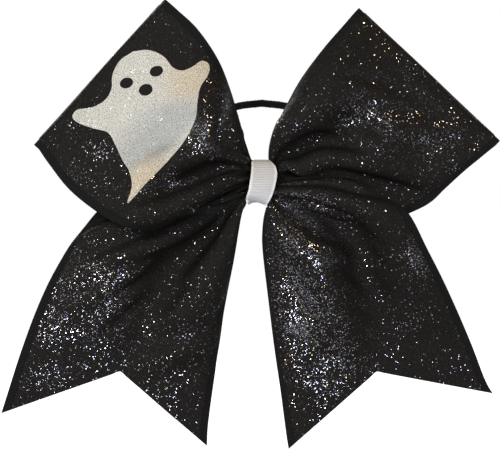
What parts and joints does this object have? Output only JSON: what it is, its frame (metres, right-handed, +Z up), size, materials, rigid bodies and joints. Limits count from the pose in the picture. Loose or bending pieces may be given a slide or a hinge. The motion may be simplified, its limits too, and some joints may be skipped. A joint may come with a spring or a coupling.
{
  "type": "cheer hair bow",
  "caption": "Large glitter cheer hair bow with stiff loops, V-cut tails, a sheet-ghost applique, a ribbed centre wrap and a hair elastic.",
  "frame": {"origin": "middle of the flat back of the knot, the face that rests against the hair", "axes": "+Z up as the bow is worn, +X to the viewer's right along its length, +Y from the bow's face to its back, out of the knot's flat back"},
  "size_m": [0.1952, 0.0387, 0.1754],
  "materials": {
    "black_grosgrain": "ribbed matte",
    "black_glitter": "coarse glitter",
    "white_glitter": "fine glitter",
    "white_grosgrain": "ribbed matte",
    "black_elastic": "braided",
    "fused_joint": "satin",
    "black_nylon": "satin",
    "hot_glue": "translucent"
  },
  "bodies": {
    "knot": {"ribbon_core": "black_grosgrain", "centre_wrap": "white_grosgrain", "wrap_glue": "hot_glue", "cable_tie": "black_nylon"},
    "left_loop": {"left_loop_ribbon": "black_grosgrain", "left_loop_glitter": "black_glitter", "ghost_applique": "white_glitter"},
    "right_loop": {"right_loop_ribbon": "black_grosgrain", "right_loop_glitter": "black_glitter"},
    "left_tail": {"left_tail_ribbon": "black_grosgrain", "left_tail_glitter": "black_glitter"},
    "right_tail": {"right_tail_ribbon": "black_grosgrain", "right_tail_glitter": "black_glitter"},
    "elastic_ring": {"hair_elastic": "black_elastic", "elastic_joint": "fused_joint"}
  },
  "joints": [
    {"name": "left_loop_fold", "type": "hinge", "parent": "knot", "child": "left_loop", "pos_m": [-0.007, -0.0105, 0], "axis": [0, 0, 1], "range_deg": [-3, 8], "stiffness_Nm_per_rad": 0.02},
    {"name": "right_loop_fold", "type": "hinge", "parent": "knot", "child": "right_loop", "pos_m": [0.007, -0.0105, 0], "axis": [0, 0, -1], "range_deg": [-4, 5], "stiffness_Nm_per_rad": 0.02},
    {"name": "left_tail_swing", "type": "hinge", "parent": "knot", "child": "left_tail", "pos_m": [-0.007, -0.011, -0.0045], "axis": [-1, 0, 0], "range_deg": [-20, 20], "stiffness_Nm_per_rad": 0.02},
    {"name": "right_tail_swing", "type": "hinge", "parent": "knot", "child": "right_tail", "pos_m": [0.007, -0.014, 0.002], "axis": [-1, 0, 0], "range_deg": [-20, 15], "stiffness_Nm_per_rad": 0.02},
    {"name": "elastic_swing", "type": "hinge", "parent": "knot", "child": "elastic_ring", "pos_m": [0, -0.0049, 0], "axis": [-1, 0, 0], "range_deg": [0, 115]}
  ]
}
